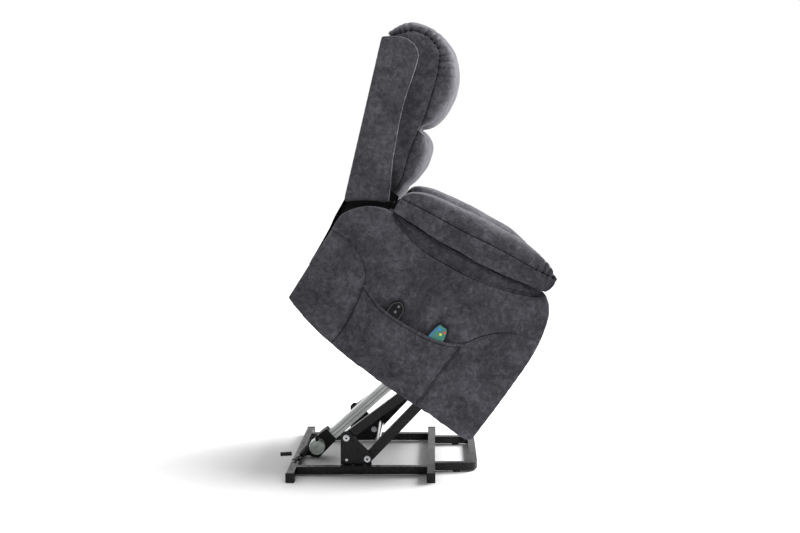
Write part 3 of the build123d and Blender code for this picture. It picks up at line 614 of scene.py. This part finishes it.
MOTOR_ROUTE = ((-0.349, -0.052, 0.082), (-0.352, -0.068, 0.100), (-0.366, -0.086, 0.088),
               (-0.3765, -0.091, 0.062))
TAIL_ROUTE = ((-0.398, -0.119, 0.036), (-0.404, -0.128, 0.0365), (-0.4095, -0.141, 0.0375),
              (-0.4095, -0.172, 0.0385), (-0.4095, -0.186, 0.022))
motor_path = nurbs_points(MOTOR_ROUTE)
motor_cord = link("motor_cord", tube_mesh("motor_cord", motor_path, 0.003, count=16), None, "lead")
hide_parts("motor_lead")
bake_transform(motor_cord)
tail_curve = bpy.data.curves.new("tail_cord", "CURVE")
tail_curve.dimensions = "3D"
tail_spline = tail_curve.splines.new("NURBS")
tail_spline.points.add(len(TAIL_ROUTE) - 1)
for point, place in zip(tail_spline.points, TAIL_ROUTE):
    point.co = (*place, 1)
tail_spline.order_u = 3
tail_spline.use_endpoint_u = True
tail_spline.resolution_u = 16
tail_curve.bevel_depth = 0.0026
tail_curve.bevel_resolution = 4
tail_curve.use_fill_caps = True
tail_cord = link("tail_cord", tail_curve, "base", "lead")
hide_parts("motor_lead")

# ribbed sleeve of the short coiled lead, with its own cap
ribs = np.linspace(0, 1, 77)
sleeve_path = [(-0.4275 - 0.038 * t, -0.118, 0.044 - 0.0019 * t) for t in ribs]
sleeve_radii = [0.0058 + 0.0015 * abs(math.sin(math.pi * 9.5 * t)) ** 0.7 for t in ribs]
sleeve_radii[0] = sleeve_radii[-1] = 0.004
sleeve = link("coiled_lead_sleeve", tube_mesh("coiled_lead_sleeve", sleeve_path, 0.006, count=28,
                                              radii=sleeve_radii), "base", "lead")
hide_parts("coiled_lead")
run_length(nurbs_points(TAIL_ROUTE))

# tapered boot where the lead leaves the motor can
boot = np.linspace(0, 1, 14)
boot_path = [(-0.3487 - 0.0005 * t, -0.0505 - 0.006 * t, 0.0735 + 0.0145 * t) for t in boot]
boot_radii = [0.0068 - 0.0026 * t + (0.0005 if i % 3 == 0 else 0) for i, t in enumerate(boot)]
link("motor_boot", tube_mesh("motor_boot", boot_path, 0.006, count=20, radii=boot_radii), "actuator",
     "plastic")


# ------------------------------------------------------------------ cushions
def crown(p, seam, half, power=3.0):
    """Pull the face outside the seam back to the seam towards both sides, so that it crowns."""
    dist, _, side, near = along(p[:, :2], seam)
    q = np.clip(np.abs(p[:, 2]) / half, 0, 1)
    keep = (1 - q ** power) ** (1 / power)
    out = (side > 0) & (dist > 0.5)
    p = p.copy()
    p[out, :2] = near[out] + (p[out, :2] - near[out]) * keep[out, None]
    return p


def cushion(name, source, voxel, inset, rounds=6, mat="suede"):
    obj = soft_copy(name, [source], voxel, mat)
    soften(obj, rounds)
    put(obj, coords(obj) - normals(obj) * inset)
    return obj


def pins(obj, mask):
    group = obj.vertex_groups.new(name="pins")
    group.add([int(i) for i in np.nonzero(mask)[0]], 1.0, "REPLACE")


def simulate(jobs, last=20):
    """Inflate all the cushions together; each job is (object, pressure, cap in metres)."""
    starts = {}
    for obj, pressure, _ in jobs:
        starts[obj.name] = coords(obj)
        mod = obj.modifiers.new("cloth", "CLOTH")
        mod.settings.use_pressure = True
        mod.settings.uniform_pressure_force = pressure
        mod.settings.quality = 4
        mod.settings.bending_stiffness = 0.6
        mod.settings.vertex_group_mass = "pins"
        mod.settings.effector_weights.gravity = 0
        mod.point_cache.frame_start = 1
        mod.point_cache.frame_end = last
    for number in range(1, last + 1):
        scene.frame_set(number)
    for obj, _, cap in jobs:
        settle(obj)
        start, end = starts[obj.name], coords(obj)
        move = end - start
        length = np.linalg.norm(move, axis=1)
        put(obj, start + move * np.minimum(1.0, cap / np.maximum(length, 1e-9))[:, None])
    scene.frame_set(1)


REAR_SLOPE = -169.0 / 475.0
# the head pillow, the lumbar roll and the lower pillow are one cushion with one seam up each side
back = soft_copy("back_cushion_cover", ["head_pillow", "lumbar_cushion", "lower_back_cushion"], 0.007,
                 "suede_back_painted_light", joins=((((-72, 640), (64, 640), (64, 684), (-84, 684)), 262),
                                      (((-8, 396), (126, 402), (134, 470), (-20, 484)), 262)))
put(back, row(crown(chair(coords(back)), BACK_SEAM, BACK_HALF)))
remesh(back, 0.0055)
soften(back, 4)
put(back, coords(back) - normals(back) * 0.008)
seat = cushion("seat_cushion_cover", "seat_cushion", 0.007, 0.008)
foot_pad = cushion("footrest_pad_cover", "footrest_pad", 0.006, 0.005, rounds=4)
pad_right = cushion("arm_pad_cover_right", "arm_pad_right", 0.005, 0.005, rounds=3)
pad_left = cushion("arm_pad_cover_left", "arm_pad_left", 0.005, 0.005, rounds=3)

p = chair(coords(back))
dist = along(p[:, :2], BACK_SEAM)[0]
back_face = p[:, 0] < -21 + (p[:, 1] - 345) * REAR_SLOPE + 52
creases = ((np.abs(p[:, 1] - 662) < 5) & (p[:, 0] > 30)) | ((np.abs(p[:, 1] - 472) < 5) & (p[:, 0] > 60))
pins(back, ((dist < 6) & (np.abs(p[:, 2]) > BACK_HALF - 26)) | back_face | creases)
p = chair(coords(seat))
pins(seat, (p[:, 1] < 246) | (p[:, 0] < 150))
p = chair(coords(foot_pad))
pins(foot_pad, p[:, 0] < 702)
for obj in (pad_right, pad_left):
    p = chair(coords(obj))
    dist = along(p[:, :2], PAD_SEAM)[0]
    low = p[:, 1] < 393.5 + (p[:, 0] - 121) * 46.0 / 529.0 + 9
    pins(obj, low | ((dist < 4) & (np.abs(np.abs(p[:, 2]) - PAD_MIDDLE) > 74)))
simulate([(back, 4.0, 0.016), (seat, 4.0, 0.016), (foot_pad, 4.0, 0.009), (pad_right, 4.0, 0.010),
          (pad_left, 4.0, 0.010)])
for obj, fill in ((back, 0.8), (seat, 0.7), (foot_pad, 0.6), (pad_right, 0.7), (pad_left, 0.7)):
    refine(obj)
    shade_smooth(obj)


def groove(obj, seam, deep, wide, mask):
    """Press a seam line into obj."""
    co = coords(obj)
    p = chair(co)
    press = deep * np.exp(-(along(p[:, :2], seam)[0] / wide) ** 2) * mask(p)
    put(obj, co - normals(obj) * press[:, None] / 1000.0)


def gather(obj, seam, first, last, count, reach, deep, mask):
    """Short tucks beside a seam that fade into the panel: reach is (left of travel, right)."""
    co = coords(obj)
    p = chair(co)
    dist, run, side, _ = along(p[:, :2], seam)
    inside = smoothstep((run - first) / 10) * smoothstep((last - run) / 10)
    phase = (run - first) / (last - first) * count + 0.12 * np.sin(run / 9.0) + 0.02 * dist / count
    wave = -np.exp(-(np.mod(phase, 1.0) - 0.5) ** 2 / 0.030) + 0.28
    far = np.where(side > 0, reach[0], reach[1])
    fade = np.exp(-(dist / far) ** 2) * inside * mask(p)
    put(obj, co + normals(obj) * (wave * fade * deep)[:, None] / 1000.0)


def outer_part(p):
    return smoothstep((np.abs(p[:, 2]) - 150) / 60)


def near_side(p):
    return smoothstep((np.abs(p[:, 2]) - (BACK_HALF - 60)) / 20)


def pad_side(p):
    return smoothstep((np.abs(np.abs(p[:, 2]) - PAD_MIDDLE) - 42) / 20)


gather(back, BACK_SEAM, 20, 92, 4, (34.0, 5.0), 7.0, outer_part)
gather(back, BACK_SEAM, 122, 282, 8, (32.0, 6.0), 8.5, outer_part)
groove(back, BACK_SEAM, 3.6, 4.2, near_side)
for obj in (back, seat, foot_pad, pad_right, pad_left):
    co = coords(obj)
    put(obj, co + normals(obj) * (ripple(co, 0.11, 5) * 0.0013 + ripple(co, 0.045, 9) * 0.0006)[:, None])
for obj in (pad_right, pad_left):
    groove(obj, PAD_SEAM, 3.0, 3.4, pad_side)
    # tucks over the front end of the pad and two at its rear end
    gather(obj, PAD_SEAM, 462, 540, 4, (46.0, 12.0), 8.0, pad_side)
    gather(obj, PAD_SEAM, 2, 44, 2, (14.0, 8.0), 4.0, pad_side)

# near-black beads along the back cushion's side seams and the arm pads' seams: painted seam shade
lines("back_cushion_seam_shade", [on_side(back, BACK_SEAM[2:-2], side) for side in (-1, 1)], 0.0011, "backrest")
for name, obj, side in (("arm_pad_piping_right", pad_right, -1), ("arm_pad_piping_left", pad_left, 1)):
    lines(name, [on_side(obj, PAD_SEAM[3:-3], side)], 0.0013, "chair")

# ------------------------------------------------------------------ arm panels
for name, source, side in (("arm_cover_right", "arm_right", -1), ("arm_cover_left", "arm_left", 1)):
    arm = soft_copy(name, [source], 0.0075)
    soften(arm, 3)
    refine(arm)
    shade_smooth(arm)
    co = coords(arm)
    p = chair(co)
    outer = smoothstep((np.abs(p[:, 2]) - (ARM_FACE - 9)) / 5)
    push = np.zeros(len(p))
    dist, _, above, _ = along(p[:, :2], CRESCENT)
    # the band under the pad is set back behind the panel's rolled top edge
    inner = (above > 0) & (p[:, 0] > 118) & (p[:, 0] < 660)
    push -= np.where(inner, 10.0 * smoothstep((dist - 1) / 4.0), 0.0)
    nearest = np.full(len(p), 200.0)
    for seam in (CRESCENT, REAR_SEAM, FRONT_UP, FRONT_DOWN):
        d = along(p[:, :2], seam)[0]
        nearest = np.minimum(nearest, d)
        push -= 3.4 * np.exp(-(d / 3.6) ** 2)
    # puckers where the rear seam gathers the panel
    dist, run, _, _ = along(p[:, :2], REAR_SEAM)
    push += 0.8 * np.sin(run / 3.4) * np.exp(-(dist / 14.0) ** 2)
    push += 2.6 * smoothstep(nearest / 45.0) * (~inner)
    push += ripple(p[:, :2], 130.0, 21) * 1.3 + ripple(p[:, :2], 48.0, 22) * 0.45
    push = np.minimum(push, 4.0)
    # the panel lies flat behind the two hand controls and where they slide up out of the pouch
    flat = smoothstep((p[:, 0] - 235) / 30) * smoothstep((510 - p[:, 0]) / 30) * \
        smoothstep((p[:, 1] - 60) / 30) * smoothstep((372 - p[:, 1]) / 12)
    push = np.where(push > 0, push * (1 - flat), push)
    co[:, 1] += side * outer * push / 1000.0
    hem = smoothstep((-30 - p[:, 1]) / 40.0)
    lift = hem * (ripple(p[:, :1], 90.0, 31) * 1.6 + ripple(p[:, :1], 34.0, 32) * 0.7)
    co[:, 0] += lift * SIN / 1000.0
    co[:, 2] += lift * COS / 1000.0
    put(arm, co)
    # near-black beads along the arm panels' seams, with the crescent one doubled: painted seam shade
    second_row = CRESCENT[8:88] + np.linspace((-1.5, -7.5), (0, -1.5), 80)
    body_lines = [CRESCENT[4:-4] + (0.0, -1.5), second_row, REAR_SEAM[2:-1], FRONT_UP[1:-3],
                  FRONT_DOWN[1:-2]]
    lines(name.replace("cover", "seams"), [on_side(arm, seam, side, 0.0010) for seam in body_lines], 0.0014,
          "chair")

# ------------------------------------------------------------------ the side pouch
POUCH_REACH = 18.4
hem_line = smooth_line(((186, -46), (200, -47), (300, -58), (402, -66), (504, -68)))


def resample(line, count):
    steps = np.concatenate(([0], np.cumsum(np.linalg.norm(np.diff(line, axis=0), axis=1))))
    want = np.linspace(0, steps[-1], count)
    return np.stack([np.interp(want, steps, line[:, k]) for k in (0, 1)], 1)


NU, NW = 121, 81
top, bottom = resample(MOUTH, NU), resample(hem_line, NU)
rear_edge = resample(REAR_SEAM[along(np.array([[176.4, 164.0]]), REAR_SEAM)[1].astype(int)[0] // 4:], NW)
front_edge = resample(FRONT_DOWN, NW)
rows_uw = []
for j in range(NW):
    t = j / (NW - 1)
    mixed = top * (1 - t) + bottom * t
    s = np.linspace(0, 1, NU)[:, None]
    fix_rear = rear_edge[j] - mixed[0]
    fix_front = front_edge[j] - mixed[-1]
    rows_uw.append(mixed + fix_rear * (1 - s) ** 3 + fix_front * s ** 3)
grid = np.array(rows_uw)
flat_uw = grid.reshape(-1, 2)
sides_in = smoothstep((flat_uw[:, 0] - 190) / 66) * smoothstep((519 - flat_uw[:, 0]) / 40)
down = smoothstep((flat_uw[:, 1] + 66) / 78)
bulge = 2.6 + (POUCH_REACH - 2.6) * sides_in * down
bulge += (ripple(flat_uw, 70.0, 41) * 0.8 + ripple(flat_uw, 28.0, 42) * 0.25 - 0.9) * sides_in * down
pouch_pts = row(np.column_stack((flat_uw, -ARM_FACE - np.minimum(bulge, POUCH_REACH))))
pouch = link("side_pouch_panel", grid_mesh("side_pouch_panel", pouch_pts.reshape(NW, NU, 3)), "chair",
             "suede")
thick = pouch.modifiers.new("thickness", "SOLIDIFY")
thick.thickness = 0.0018
thick.offset = 0.0
settle(pouch)
shade_smooth(pouch)
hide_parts("side_pouch")
welt = [Vector(pouch_pts[j]) + Vector((0, -0.0002, 0)) for j in range(0, NU, 2)]
lines("pouch_welt", [welt], 0.0034, "chair", mat="suede")
# near-black beads under the mouth and up the pouch's two sides: painted seam shade
under = [grid[3][i] for i in range(2, NU - 2, 2)]
lines("pouch_seam_shade", [on_side(pouch, under, -1, 0.0004),
                          on_side(pouch, [grid[j][1] for j in range(1, NW - 2, 2)], -1, 0.0002),
                          on_side(pouch, [grid[j][-2] for j in range(1, NW - 2, 2)], -1, 0.0002)],
      0.0009, "chair")

# ------------------------------------------------------------------ wings, back panel and black cloth
for name, source, side in (("wing_cover_right", "back_wing_right", -1),
                           ("wing_cover_left", "back_wing_left", 1)):
    wing = soft_copy(name, [source], 0.006, "suede_back_painted_light")
    soften(wing, 2)
    refine(wing)
    shade_smooth(wing)
    co = coords(wing)
    p = chair(co)
    outer = smoothstep((np.abs(p[:, 2]) - 383) / 8)
    dist, _, _, _ = along(p[:, :2], WING_EDGE)
    press = -2.2 * np.exp(-((dist - 7) / 2.2) ** 2) + 2.4 * smoothstep((dist - 8) / 60)
    press += ripple(p[:, :2], 120.0, 51) * 0.9 + ripple(p[:, :2], 40.0, 52) * 0.3
    co[:, 1] += side * outer * np.minimum(press, 3.2) / 1000.0
    front = smoothstep((60 - dist) / 40) * (1 - outer)
    co += normals(wing) * (front * ripple(co, 0.07, 53) * 0.0009)[:, None]
    # the front face falls away from its outer edge towards the pillows
    ahead = p[:, 0] + 21 - (p[:, 1] - 345) * REAR_SLOPE
    fall = 13.0 * smoothstep((60 - dist) / 30) * smoothstep((396 - np.abs(p[:, 2])) / 90) * \
        smoothstep((ahead - 35) / 45)
    co += (row([(-1, 0, 0)]) - row([(0, 0, 0)])) * fall[:, None]
    put(wing, co)

back_panel = soft_copy("back_panel_cover", ["back_outer_panel"], 0.006, "suede_back_painted_light")
soften(back_panel, 2)
refine(back_panel)
shade_smooth(back_panel)
co = coords(back_panel)
p = chair(co)
rearward = smoothstep(((-21 + (p[:, 1] - 345) * REAR_SLOPE + 4.5) - p[:, 0]) / 3.0)
cross = np.abs(p[:, 2])
shape = 2.6 * smoothstep((258 - cross) / 60) * smoothstep((p[:, 1] - 350) / 60) * \
    smoothstep((832 - p[:, 1]) / 60) - 2.2 * np.exp(-((cross - 92) / 4.0) ** 2)
shape += ripple(p[:, 1:], 140.0, 61) * 0.6
back_dir = row([(-1.0, REAR_SLOPE * 1.0, 0)])[0] - row([(0, 0, 0)])[0]
back_dir /= np.linalg.norm(back_dir)
put(back_panel, co + back_dir[None, :] * (rearward * shape)[:, None] / 1000.0)

# one black sheet from the back panel's lower edge down behind the seat
flap_line = smooth_line(((-19.5, 352), (-17.5, 318), (-15.0, 280), (-10.0, 244), (-6.0, 180),
                         (-3.5, 118), (3.0, 78), (11.2, 26)), 7.0)
flap_rows = []
for u, w in flap_line:
    half = 398.0 if w > 118 else 273.0 + 125.0 * math.exp(-(118 - w) / 3.0)
    if w > 338:
        half = 398.0 - 8.0 * (w - 338) / 14.0
    ys = np.linspace(-half, half, 131)
    fold = ripple(np.column_stack((ys, np.full(131, w * 0.6))), 120.0, 71)
    flap_rows.append(row(np.column_stack((u + 0.8 * fold * smoothstep((350 - w) / 20), np.full(131, w),
                                          ys))))
flap = link("rear_flap_cloth", grid_mesh("rear_flap_cloth", flap_rows), None, "cloth")
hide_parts("rear_dust_flap")
flap_thick = flap.modifiers.new("thickness", "SOLIDIFY")
flap_thick.thickness = 0.0010
settle(flap)
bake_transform(flap)

# a black sheet fills the gap between each wing's underside and the arm
wing_low = np.array(((-21, 343), (-15, 337), (15, 361), (49, 383), (97, 407), (125, 416)))
arm_top = np.array(((-6, 292), (-2, 300), (16, 331), (46, 362), (86, 384.5), (121, 393), (130, 394)))
for name, side in (("gap_cloth_right", -1), ("gap_cloth_left", 1)):
    plan = [(112, 280), (112, 330), (112, 378), (104, 388), (80, 390), (50, 390), (20, 390), (2, 389),
            (-8, 380), (-9, 330), (-9, 280)]
    plan = smooth_line(plan, 6.0)
    gap_rows = []
    for k in range(9):
        t = k / 8
        ring = []
        for u, y in plan:
            high = np.interp(u, wing_low[:, 0], wing_low[:, 1]) + 8
            lower = np.interp(u, arm_top[:, 0], arm_top[:, 1]) - 10
            w = lower + (high - lower) * t
            tuck = 3.5 * math.sin(math.pi * t)
            ring.append(row([(u, w, side * (y - tuck))])[0])
        gap_rows.append(ring)
    gap = link(name, grid_mesh(name, gap_rows), None, "cloth")
    gap_thick = gap.modifiers.new("thickness", "SOLIDIFY")
    gap_thick.thickness = 0.0010
    settle(gap)
    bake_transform(gap)

# ------------------------------------------------------------------ the rigid CAD nodes
FINISH = {
    "frame_paint": "paint", "black_plastic": "plastic", "zinc_bolts": "zinc", "black_bolts": "black_bolt",
    "bright_rod": "rod", "track_alloy": "alloy", "plywood": "ply", "handset_gloss": "gloss",
    "button_face": "button", "blue_rubber": "blue", "red_rubber": "red", "yellow_rubber": "yellow",
    "dust_cloth": "cloth", "upholstery": "suede",
}
SLOT_OF = {part["node"]: part["material_slot"] for part in frame["record"]["subparts"]}
FINE = ("handset", "remote", "bezel", "button", "key")
for name, obj in nodes.items():
    if obj.hide_render:
        continue
    dress(obj, FINISH[SLOT_OF[name]])
    weld = obj.modifiers.new("weld", "WELD")
    weld.merge_threshold = 1e-5
    bevel = obj.modifiers.new("bevel", "BEVEL")
    bevel.width = 0.0004 if any(word in name for word in FINE) else 0.0008
    bevel.segments = 2
    bevel.limit_method = "ANGLE"
    bevel.angle_limit = math.radians(38)
    obj.modifiers.new("normals", "WEIGHTED_NORMAL")
for name, mat in (("motor_can", "can"), ("motor_end_cap", "can"), ("handset_bezel", "bezel"),
                  ("massage_remote", "plastic")):
    dress(nodes[name], mat)

# ------------------------------------------------------------------ small metal details
def upright(points):
    """Row (x, z, y) in mm to metres."""
    p = np.atleast_2d(np.array(points, float))
    return np.stack((p[:, 0], p[:, 2], p[:, 1]), 1) / 1000.0


def polygon(centre, radius, count, turn=0.0):
    return [(centre[0] + radius * math.cos(turn + 2 * math.pi * i / count),
             centre[1] + radius * math.sin(turn + 2 * math.pi * i / count)) for i in range(count)]


for label, side in (("right", -1), ("left", 1)):
    for what, centre in (("upper", (-234.0, 124.0)), ("lower", (-165.5, 53.5))):
        plate(f"{what}_bolt_socket_{label}", polygon(centre, 4.1, 6, 0.3), side * 225.3, side * 224.9,
              "base", "black_bolt", 0.0001, upright)
    plate(f"plate_rivet_{label}", polygon((-233.5, 50.0), 4.6, 20), side * 218.6, side * 216.9,
          "base", "zinc", 0.0005, upright)
lines("crossbar_welds", [[(x / 1000.0, y / 1000.0, 0.0253) for x in (31.5, 38, 44.5, 51, 57.5)]
                         for y in (-205, -202, 202, 205)], 0.0016, "base", mat="alloy")
ca, sa = math.cos(TRACK_ANGLE), math.sin(TRACK_ANGLE)
lines("track_groove_shadows",
      [[(-0.297 + t * ca - n * sa, side * 0.0191, 0.085 + t * sa + n * ca) for t in (0.002, 0.27, 0.536)]
       for side in (-1, 1) for n in (-0.006, 0.006)], 0.0004, "actuator", mat="lead")

# ------------------------------------------------------------------ hand controls
FACE_Y = -443.1
remote_face = ((423, 120), (468.5, 120), (469, 150), (465, 171), (459, 183.5), (433.5, 185), (427.5, 170),
               (422.5, 141))
plate("remote_face", remote_face, FACE_Y + 0.2, FACE_Y - 0.35, "remote", "teal")
plate("remote_wedge", ((423, 120), (436, 120), (433, 150), (435, 185), (433.5, 185), (427.5, 170),
                       (422.5, 141)), FACE_Y, FACE_Y - 0.6, "remote", "blue_wedge", 0.0002)
for name, centre, up, body in (("up_mark", (297.5, 163.5), 1, "handset_up"),
                               ("down_mark", (297.5, 144.0), -1, "handset_down")):
    u, w = centre
    arrow = ((u - 2.5, w - 1.2 * up), (u, w + 2.5 * up), (u + 2.5, w - 1.2 * up), (u + 0.9, w - 0.9 * up),
             (u + 0.7, w - 2.5 * up), (u - 0.7, w - 2.5 * up), (u - 0.9, w - 0.9 * up))
    plate(name, arrow if up > 0 else arrow[::-1], -446.2, -446.55, body, "mark", 0.0)
